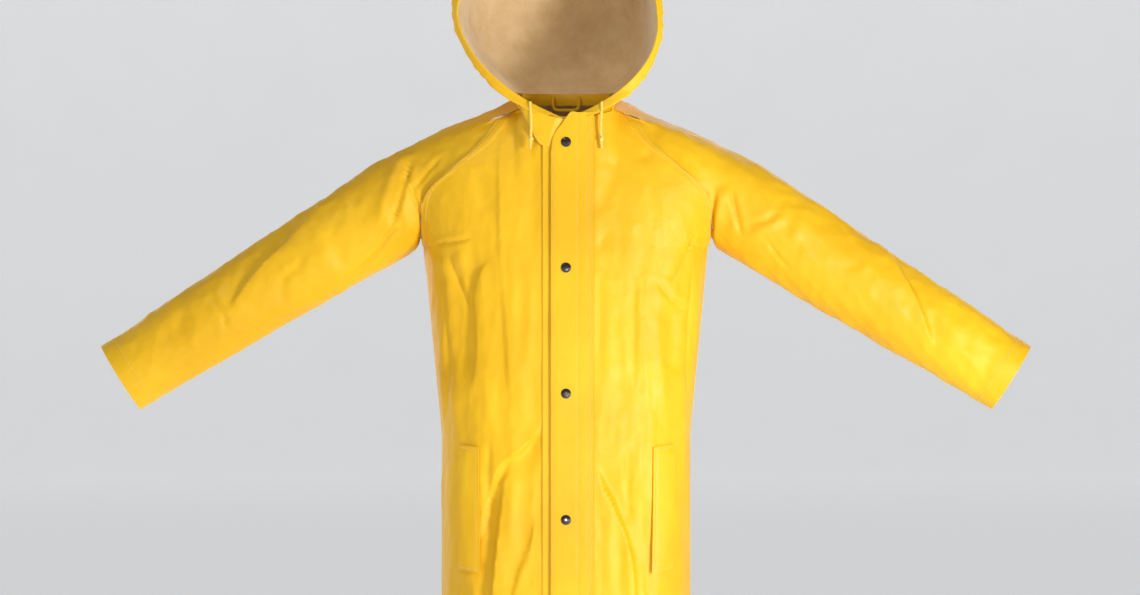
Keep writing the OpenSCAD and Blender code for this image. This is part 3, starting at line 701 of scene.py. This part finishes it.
def wave_set(count, low, high, squeeze):
    """Random plane waves, as wave vectors for lengths between low and high mm."""
    way = unit(RANDOM.normal(size=(count, 3)) * np.array(squeeze))
    return way * (2 * math.pi / RANDOM.uniform(low, high, count))[:, None], RANDOM.uniform(0, 6.28, count)


BROAD = wave_set(10, 90, 260, (1.4, 0.6, 0.5))
HANGING = wave_set(9, 46, 120, (1, 0.25, 0.10))
MEDIUM = wave_set(16, 34, 80, (1, 1, 0.8))
FINE = wave_set(18, 13, 30, (1, 1, 1))


def waves(p, wave_vectors, ridged=False):
    k, phase = wave_vectors
    value = np.sin(p @ k.T + phase)
    if ridged:
        value = 1 - 2 * np.abs(value)
    return value.mean(-1)


def wrinkled(p, wrap=False, amount=1.0, keep=None):
    """The grid with its folds raised along its normals; keep (0 to 1) fades them out."""
    n = grid_normals(p, wrap)
    x, z = p[..., 0], p[..., 2]
    facing_front = smooth(-0.1, 0.45, -n[..., 1])
    facing_back = smooth(-0.1, 0.45, n[..., 1])
    height = fold_height(x, z, FRONT_FOLDS) * facing_front
    height += fold_height(x, z, BACK_FOLDS) * facing_back
    warped = p + 9 * np.stack([waves(p, MEDIUM)] * 3, -1)
    hanging = waves(p + 14 * waves(p, BROAD)[..., None], HANGING, True) * smooth(-60, -320, z)
    height += amount * (2.6 * waves(p, BROAD) + 2.2 * waves(warped, MEDIUM, True)
                        + 0.5 * waves(warped, FINE, True) + (0 if wrap else 5.0) * hanging)
    if keep is not None:
        height = height * keep
    moved = p + n * height[..., None]
    return moved, grid_normals(moved, wrap)


# ---------- panels
def at_grid(p, n, rows, cols):
    """Points and normals of a grid at fractional rows and columns."""
    def pick(g):
        r = np.clip(rows, 0, g.shape[0] - 1.001)
        c = np.clip(cols, 0, g.shape[1] - 1.001)
        i, j = r.astype(int), c.astype(int)
        fr, fc = (r - i)[:, None], (c - j)[:, None]
        return ((g[i, j] * (1 - fc) + g[i, j + 1] * fc) * (1 - fr)
                + (g[i + 1, j] * (1 - fc) + g[i + 1, j + 1] * fc) * fr)
    return pick(p), unit(pick(n))


def cut_size(p, wrap=False):
    """Mean width and length of a panel's grid, in metres: the rectangle it is cut from."""
    across = np.linalg.norm(np.diff(p, axis=1), axis=-1).sum(1).mean()
    if wrap:
        across += np.linalg.norm(p[:, 0] - p[:, -1], axis=-1).mean()
    along = np.linalg.norm(np.diff(p, axis=0), axis=-1).sum(0).mean()
    return round(across * MM * 1.02, 3), round(along * MM * 1.02, 3)


def cloth(p, nodes, wrap=False):
    """Hides the CAD nodes a fabric piece stands for and works out its cut size, which is not kept."""
    if nodes:
        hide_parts(*nodes)
    flat = cut_size(p, wrap)


def edge_calm(p, first=True, last=True, reach=9.0):
    """Share of the folds kept at each point: none at a sewn edge column, all further in."""
    step = np.linalg.norm(np.diff(p, axis=1), axis=-1)
    run = np.concatenate([np.zeros((len(p), 1)), np.cumsum(step, axis=1)], axis=1)
    calm = np.ones(run.shape)
    if first:
        calm *= smooth(0, reach, run)
    if last:
        calm *= smooth(0, reach, run[:, -1:] - run)
    return calm


def make_fronts():
    for side, name, x0 in ((1, "left", 14.0), (-1, "right", -13.0)):
        flat = front_grid(x0, side, 330, 96)
        calm = edge_calm(flat, first=side < 0, last=side > 0)
        across = side * flat[..., 0]
        # the cloth lies still under the flap, and rises to meet it on the wearer's left
        calm = calm * (smooth(20, 62, across) if side > 0 else smooth(30, 56, across))
        p, n = wrinkled(flat, amount=0.7, keep=calm)
        if side > 0:
            lift = (FLAP_OUT - 2.9) * smooth(96, 44, p[..., 0]) * smooth(20, 34, p[..., 0])
            p = p + n * lift[..., None]
            n = grid_normals(p)
        obj = shell(f"{name}_front_cloth", p, SKIN, normals=n, materials=(YELLOW, CREAM))
        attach(obj, "root")
        cloth(flat, [f"{name}_front_panel"])
        rows = np.linspace(235, len(p) - 2, 240)
        sew(f"{name}_front_raglan_stitch", p, n, rows, np.full(240, (p.shape[1] - 4.0) if side > 0 else 3.0))
        hem = np.full(160, 9.0)
        sew(f"{name}_front_hem_stitch", p, n, hem, np.linspace(2, p.shape[1] - 3, 160))


def make_back():
    flat = back_grid(330, 150)
    p, n = wrinkled(flat, keep=edge_calm(flat))
    obj = shell("back_cloth", p, SKIN, normals=n, materials=(YELLOW, CREAM))
    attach(obj, "root")
    cloth(flat, ["back_panel"])
    rows = np.linspace(232, len(p) - 3, 240)
    sew("back_raglan_stitch_left", p, n, rows, np.full(240, 4.0))
    sew("back_raglan_stitch_right", p, n, rows, np.full(240, p.shape[1] - 5.0))
    sew("back_hem_stitch", p, n, np.full(200, 9.0), np.linspace(2, p.shape[1] - 3, 200))


def sew(name, p, n, rows, cols, body="root", zigzag=0.0):
    """A line of stitches lying on a panel, along fractional rows and columns of its grid."""
    path, normals = at_grid(p, n, np.asarray(rows, float), np.asarray(cols, float))
    obj = joined(name, stitches(path + normals * 0.2, normals, zigzag=zigzag), THREAD)
    if body:
        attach(obj, body)
    return obj


def mirrored(p, side):
    """Mirrors a grid for the wearer's right, keeping its faces outwards."""
    return p if side > 0 else (p * np.array([-1.0, 1.0, 1.0]))[:, ::-1]


def make_sleeves():
    cols = 120
    base, split = sleeve_grid(34, 104, cols)
    base = base[:, ::-1]
    for side, name in ((1, "left"), (-1, "right")):
        flat = mirrored(base, side)
        rows = np.arange(len(flat))[:, None]
        calm = smooth(0, 5, rows) * (1 - 0.7 * smooth(len(flat) - 10, len(flat) - 2, rows))
        p, n = wrinkled(flat, True, 1.25, keep=calm)
        # the seam allowance under the raglan seam stands up a little
        p = p + n * (0.9 * smooth(6, 2.5, rows) * smooth(0, 2, rows))[..., None]
        n = grid_normals(p, True)
        upper = shell(f"{name}_sleeve_cloth", p[:split + 1], SKIN, True, n[:split + 1], (YELLOW, CREAM))
        cloth(flat[:split + 1], [f"{name}_shoulder_panel", f"{name}_upper_sleeve"], wrap=True)
        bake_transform(upper)
        lower = shell(f"{name}_forearm_cloth", p[split:], SKIN, True, n[split:], (YELLOW, CREAM))
        cloth(flat[split:], [f"{name}_lower_sleeve", f"{name}_cuff_hem"], wrap=True)
        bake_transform(lower)
        turn = np.linspace(0, cols - 1.01, 400)
        closed = np.concatenate([p, p[:, :1]], axis=1), np.concatenate([n, n[:, :1]], axis=1)
        raglan = sew(f"{name}_raglan_stitch", *closed, np.full(400, 2.6), turn, body=None)
        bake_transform(raglan)
        sew(f"{name}_cuff_stitch", *closed, np.full(300, len(p) - 6.0), np.linspace(0, cols, 300),
            body=f"{name}_forearm")


def make_hood():
    rows, cols = 120, 190
    t = np.linspace(0, 0.999, rows)[:, None]
    v = np.linspace(0, 1, cols // 2)[None]
    flat = np.concatenate([hood_pt(t, v, 1), hood_pt(t, v, -1)[:, ::-1][:, 1:]], axis=1)[:, ::-1]
    rim_calm = 0.3 + 0.7 * smooth(4, 16, np.arange(rows)[:, None])
    p, n = wrinkled(flat, keep=rim_calm * edge_calm(flat))
    obj = shell("hood_cloth", p, SKIN, normals=n, materials=(YELLOW, CREAM))
    cloth(flat, ["hood_left_neck", "hood_right_neck", "hood_left_crown", "hood_right_crown",
                      "hood_seam_tape"])
    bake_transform(obj)
    beside_crown = np.full(500, (p.shape[1] - 1) / 2 + 2.0)
    seam = sew("hood_crown_stitch", p, n, np.linspace(1, rows - 3, 500), beside_crown, body=None)
    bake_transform(seam)
    # rim: the edge folded inwards over the drawcord and gathered by it
    rim_v = np.linspace(0.035, 1, 240)
    halves = []
    for side in (1, -1):
        at = hood_pt(0, rim_v, side)
        back = unit(hood_pt(0.09, rim_v, side) - at)
        along = np.gradient(at, axis=0)
        deep = unit(np.cross(back, along)) * side
        run = np.concatenate([[0], np.cumsum(np.linalg.norm(np.diff(at, axis=0), axis=1))])
        pucker = 1 + 0.06 * np.sin(run / 4.3 + 2 * np.sin(run / 17 + side)) + 0.05 * np.sin(run / 9.1 + side)
        section = curve_through([(29, 1.6), (22, 7.5), (14.5, 12.6), (7, 10.4), (1.5, 4.2), (-1.4, 0.8),
                                 (-0.4, -1.0), (5, -0.4), (14, 1.2), (24, 1.2), (29, 1.6)], 27)[:-1]
        band = (at[:, None] + back[:, None] * (section[None, :, :1])
                + deep[:, None] * (section[None, :, 1:] * pucker[:, None, None]))
        halves.append(band)
    band = np.concatenate([halves[0], halves[1][::-1][1:]])
    rim_faces_out = band[:, ::-1]
    verts = rim_faces_out.reshape(-1, 3)
    m, k = rim_faces_out.shape[:2]
    index = np.arange(m * k).reshape(m, k)
    nxt = np.roll(index, -1, axis=1)
    faces = np.stack([index[:-1], nxt[:-1], nxt[1:], index[1:]], -1).reshape(-1, 4).tolist()
    faces += [index[0][::-1].tolist(), index[-1].tolist()]
    rim = mesh_from("hood_rim_casing", verts, faces, materials=(YELLOW,))
    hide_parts("left_casing_neck", "right_casing_neck", "crown_casing",
                "left_cord_neck", "right_cord_neck", "crown_cord")
    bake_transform(rim)


# The neck seam on the body, from the centre front round to the centre back
NECK_SEAM = [(0, -101, -21), (43, -95, -11), (72, -75, 0), (80, -38, 12), (82, 8, 18.5), (79, 42, 21),
             (70, 60, 22), (40, 72, 24), (0, 76, 25)]


def make_hood_corner():
    """The hood's right lower corner, tucked down over the chest under the flap."""
    top = curve_through([(-76, -91, 14), (-52, -100, -1), (-27, -103, -12), (-3, -103.4, -17)], 60)
    low = curve_through([(-76, -91, 12), (-62, -101.5, -20), (-47, -104, -50), (-35, -104.6, -60),
                         (-20, -104.6, -61)], 60)
    v = np.linspace(0, 1, 40)[:, None, None]
    flat = lerp(low[None], top[None], v)
    n = grid_normals(flat)
    u = np.linspace(0, 1, 60)[None]
    calm = smooth(0, 0.12, u) * smooth(1, 0.8, u)
    height = 1.4 * np.sin(math.pi * v[..., 0]) + 1.2 * waves(flat, MEDIUM, True) + 0.5 * waves(flat, FINE)
    # its upper edge leans out from the chest
    height = height * calm + 4.5 * v[..., 0] * calm + 1.2
    p = flat + n * height[..., None]
    n = grid_normals(p)
    obj = shell("hood_corner_cloth", p, SKIN, normals=n, materials=(YELLOW, CREAM))
    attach(obj, "root")
    cloth(flat, [])
    sew("hood_corner_stitch", p, n, np.full(120, 2.4), np.linspace(2, 56, 120))


def make_neck_seam():
    """The seam allowance that joins the hood's lower edge to the body all round."""
    low = curve_through(NECK_SEAM, 160) - np.array([0, 0, 1.5])
    t = np.interp(np.linspace(0, 1, 160), np.linspace(0, 1, 9),
                  [0, 0.175, 0.345, 0.42, 0.52, 0.64, 0.70, 0.84, 0.999])
    halves = []
    for side in (1, -1):
        flip = np.array([side, 1, 1])
        edge = hood_pt(t, 0.014, side)
        v = np.linspace(0, 1, 9)[:, None, None]
        outwards = unit((low - np.array([0, -10, 0])) * flip * np.array([1, 1, 0]))[None]
        halves.append(lerp((low * flip)[None], edge[None], v) + outwards * 1.8 * np.sin(math.pi * v))
    band = np.concatenate([halves[1][:, ::-1], halves[0][:, 1:]], axis=1)
    n = grid_normals(band)
    obj = shell("neck_seam_cloth", band, SKIN, normals=n, materials=(YELLOW, YELLOW))
    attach(obj, "root")
    cloth(band, [])


def make_flap():
    """Storm flap: a doubled strip with a cut-away top corner."""
    rows, cols = 300, 34
    v = np.linspace(0, 1, rows)[:, None]
    u = np.linspace(0, 1, cols)[None]
    z_low = HEM_Z + 4
    top = curve_through([(-FLAP_REACH, -72), (-22, -52), (-17, -38), (-8, -26), (2, -12),
                         (9, -5), (20, -6), (FLAP_SEAM + 6, -6)], 60)
    x = lerp(-FLAP_REACH, FLAP_SEAM + 6, u)
    z = lerp(z_low, np.interp(x, top[:, 0], top[:, 1]), v)
    y = front_y(z) - FLAP_OUT + np.zeros_like(x)
    flat = np.stack([x + np.zeros_like(z), y, z], -1)
    edge = smooth(0, 5, x + FLAP_REACH)
    height = 0.9 * waves(flat, BROAD) + 0.6 * waves(flat, MEDIUM, True) + 0.3 * waves(flat, FINE, True)
    # rows of stitches draw the doubled cloth in, and puff it between them
    for line in FLAP_STITCHES:
        height -= 0.55 * np.exp(-((x - line) / 1.6) ** 2)
    p = flat + np.stack([np.zeros_like(height), 1.0 * (1 - edge) - height, np.zeros_like(height)], -1)
    n = grid_normals(p)
    obj = shell("storm_flap_cloth", p, FLAP_T, normals=n, materials=(YELLOW, YELLOW))
    cloth(flat, ["storm_flap"])
    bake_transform(obj)
    for i, line in enumerate(FLAP_STITCHES):
        col = (line + FLAP_REACH) / (FLAP_SEAM + 6 + FLAP_REACH) * (cols - 1)
        down = np.linspace(3, rows - 4, 900)
        thread_row = sew(f"flap_stitch_{i}", p, n, down, np.full(900, col), body=None)
        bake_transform(thread_row)


def make_welts():
    for side, name in ((1, "left"), (-1, "right")):
        rows, cols = 80, 20
        u = np.linspace(0, 1, cols)[None]
        v = np.linspace(0, 1, rows)[:, None]
        z = lerp(-WELT_Z - WELT_H, -WELT_Z, v) - 4 * (1 - u)
        x = WELT_X + WELT_W * u + np.zeros_like(z)
        flat = mirrored(front_pt(x, z), side)
        p, n = wrinkled(flat, amount=0.6, keep=0.45 + np.zeros(flat.shape[:2]))
        # sewn flat on the medial edge and the two ends, standing open on the lateral edge
        puff = 2.6 + 2.2 * smooth(0, 0.9, u) * smooth(0, 0.08, v) * smooth(1, 0.92, v)
        puff = puff - 0.5 * np.exp(-((u - 0.14) / 0.04) ** 2)
        puff = puff if side > 0 else puff[:, ::-1]
        p = p + n * puff[..., None]
        n = grid_normals(p)
        obj = shell(f"{name}_welt_cloth", p, 1.8, normals=n, materials=(YELLOW, YELLOW))
        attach(obj, "root")
        cloth(flat, [f"{name}_pocket_welt"])
        medial = 2.7 if side > 0 else cols - 3.7
        sew(f"{name}_welt_stitch", p, n, np.linspace(1, rows - 2, 200), np.full(200, medial))
        for end, row in (("top", rows - 3.0), ("low", 2.0)):
            sew(f"{name}_welt_{end}_stitch", p, n, np.full(60, row), np.linspace(1, cols - 2, 60), zigzag=1.3)


# ---------- pieces inside the coat
def inner_band(name, p, thick, nodes, material, depth=0.0):
    """A strip of cloth lying depth under the grid p, facing the way p does."""
    n = grid_normals(p)
    obj = shell(name, p, thick, normals=n, materials=(material, material), lift=-depth)
    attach(obj, "root")
    cloth(p, nodes)


def make_linings():
    inner = SKIN + 2.6
    angle = np.radians(np.linspace(10, 350, 260))[None]
    z = np.linspace(HEM_Z + 2, HEM_Z + 30, 8)[:, None]
    x = (HEM_W - 3) * np.sin(angle) + np.zeros_like(z)
    z = z + np.zeros_like(x)
    hem = np.where((np.cos(angle) > 0)[..., None], front_pt(x, z), back_pt(x, z))
    inner_band("hem_band", hem, 1.2, ["bottom_hem"], YELLOW, depth=inner)
    for side, name in ((1, "left"), (-1, "right")):
        z = np.linspace(HEM_Z + 34, UNDERARM_Z - 12, 120)[:, None]
        y = np.linspace(-17, 17, 9)[None] + np.zeros_like(z)
        z = z + np.zeros_like(y)
        x = FLAT_W + (half_w(z) - FLAT_W) * rounded(abs(y) / BACK_REACH, 2.4)
        tape = mirrored(np.stack([x, MID_Y + y, z], -1), side)
        inner_band(f"{name}_seam_tape", tape, 0.6, [f"{name}_side_seam_tape"], CREAM,
                   depth=inner)
        x1, z0 = WELT_X + 20, -WELT_Z - WELT_H - 20
        u = np.linspace(0, 1, 60)[None]
        v = np.linspace(0, 1, 120)[:, None]
        round_off = 10 * (smooth(0.25, 0, v) * smooth(0.3, 0, u))
        bag = front_pt(lerp(x1 - 96, x1, u) + round_off, lerp(z0, -WELT_Z, v) + round_off)
        bag = mirrored(bag, side)
        sag = np.sin(math.pi * u) ** 0.7 * np.sin(math.pi * np.clip(v, 0.02, 1)) ** 0.7
        sink = 6 + 5 * sag + 0.6 * waves(bag, MEDIUM)
        sink = sink if side > 0 else 6 + (sink - 6)[:, ::-1]
        # the bag gives way where the front folds in
        sink = sink + np.maximum(0, -fold_height(bag[..., 0], bag[..., 2], FRONT_FOLDS))
        back_wall = bag - grid_normals(bag) * sink[..., None]
        inner_band(f"{name}_bag_cloth", back_wall, 1.0, [f"{name}_pocket_bag"], CREAM)
    z = lerp(HEM_Z + 4, NECK_Z - 26, np.linspace(0, 1, 200))[:, None]
    x = np.linspace(-37, 13, 14)[None] + np.zeros_like(z)
    z = z + np.zeros_like(x)
    placket = np.stack([x, front_y(z) - 1.9 + 0.2 * np.sin(z / 31), z], -1)
    inner_band("placket_cloth", placket, 1.4, ["right_placket"], YELLOW)
    t = np.linspace(0.62, 1.38, 90)[None]
    side = np.where(t <= 1, 1, -1)
    near = neckline(np.where(t <= 1, t, 2 - t))
    near[..., 0] = side * near[..., 0] * (1 - 7 / NECK_W)
    near[..., 1] -= 8
    v = np.linspace(0, 1, 10)[:, None, None]
    outwards = unit(near * np.array([1, 1, 0]))
    binding = near + np.array([0, 0, 1.0]) * (18 * v - 18) - outwards * 1.2 * np.sin(math.pi * v)
    inner_band("neck_tape", binding[:, ::-1], 1.0, ["neck_binding"], YELLOW)
    # hanger loop: a folded tape, sewn at both ends
    low, high = box_mm("hanger_loop")
    mid_y, mid_z = (low[1] + high[1]) / 2, (low[2] + high[2]) / 2
    half_x, half_z = (high[0] - low[0]) / 2 - 3, (high[2] - low[2]) / 2 - 3
    # half a turn of the loop: x as a share of its half width, y, z
    turn = [(1, 0, half_z), (1, -0.5, -2), (0.8, -1, -half_z)]
    corners = [(-x, y, z) for x, y, z in turn] + [(0, -1.5, -half_z - 1)] + turn[::-1]
    path = curve_through([(x * half_x, mid_y + y, mid_z + z) for x, y, z in corners], 60)
    around = np.arange(12) * 2 * math.pi / 12
    oval = 1 / np.sqrt((np.cos(around) / 2.8) ** 2 + (np.sin(around) / 0.9) ** 2)
    loop = joined("hanger_tape", [tube(path, np.tile(oval, (60, 1)), 12, across=(0, 1, 0))], YELLOW)
    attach(loop, "root")
    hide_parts("hanger_loop")


def make_cords():
    """The drawcord's two free ends: twisted yarn from the casing down to a knot."""
    route = [(57, -104, 11), (57, -105, 4), (56.5, -106, -4), (56, -107, -14), (55.5, -108, -24),
             (55.5, -108.5, -34), (56, -109, -43.7), (56, -109, -52.3), (56.5, -109.5, -58), (57, -110, -64)]
    for side, name in ((1, "left"), (-1, "right")):
        points = curve_through([(side * x, y, z) for x, y, z in route], 110)
        turn = np.linspace(0, 2 * math.pi * 9, len(points))[:, None]
        around = np.arange(18) * 2 * math.pi / 18
        lobes = CORD_D / 2 * (0.84 + 0.30 * np.abs(np.cos(1.5 * (around[None] - turn))))
        verts, faces = tube(points, lobes, 18)
        obj = joined(f"{name}_cord_tail", [(verts, faces)], CORD)
        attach(obj, "root")
        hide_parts(f"{name}_drawcord_end")
        knot_at = np.array([side * 56.0, -109.0, -48.0])
        a = np.linspace(0, 2 * math.pi, 90)
        trefoil = np.stack([np.sin(a) + 2 * np.sin(2 * a), np.cos(a) - 2 * np.cos(2 * a),
                            -1.6 * np.sin(3 * a)], -1) * np.array([0.95, 0.95, 1.35]) + knot_at
        knot_verts, knot_faces = tube(trefoil, np.full(len(a), 1.7), 12)
        knot = joined(f"{name}_cord_tail_knot", [(knot_verts, knot_faces)], CORD)
        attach(knot, "root")
        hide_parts(f"{name}_cord_knot")


def make_stage():
    """A wide pale floor that curves up into a low wall all round."""
    floor_z, flat_r, bend = HEM_Z * MM - 0.25, 17.0, 5.0
    profile = [(0.0, floor_z), (6.0, floor_z), (flat_r, floor_z)] + [
        (flat_r + bend * math.sin(a), floor_z + bend - bend * math.cos(a))
        for a in np.linspace(0.1, 1.4, 12)]
    turn = np.arange(96) * 2 * math.pi / 96
    ring = np.array([[(r * math.cos(a), r * math.sin(a), z) for a in turn] for r, z in profile]) / MM
    index = np.arange(len(profile) * 96).reshape(-1, 96)
    nxt = np.roll(index, -1, axis=1)
    faces = np.stack([index[:-1], nxt[:-1], nxt[1:], index[1:]], -1).reshape(-1, 4)[:, ::-1].tolist()
    n = Nodes("studio_paper")
    colour = n.ramp(n.noise(3), [(0.3, (0.78, 0.78, 0.78)), (0.7, (0.81, 0.81, 0.81))])
    paper = n.finish(colour, 0.9, n.bump(n.noise(200), 0.03, 0.001),
                     Emission_Color=(1, 1, 1, 1), Emission_Strength=0.42)
    mesh_from("studio_floor", ring.reshape(-1, 3), faces, materials=(paper,))


def keep_cad(nodes, material):
    """CAD nodes whose shape is right keep it and take a finished material."""
    for node in nodes:
        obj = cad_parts[node]
        obj.data.materials.clear()
        obj.data.materials.append(material)


make_camera()
make_cords()
make_lights()
make_fronts()
make_back()
make_sleeves()
make_hood()
make_neck_seam()
make_hood_corner()
make_flap()
make_welts()
make_linings()
keep_cad(["snap_caps"], CAP)
keep_cad(["snap_sockets", "snap_studs", "snap_backs"], BRASS)
make_stage()
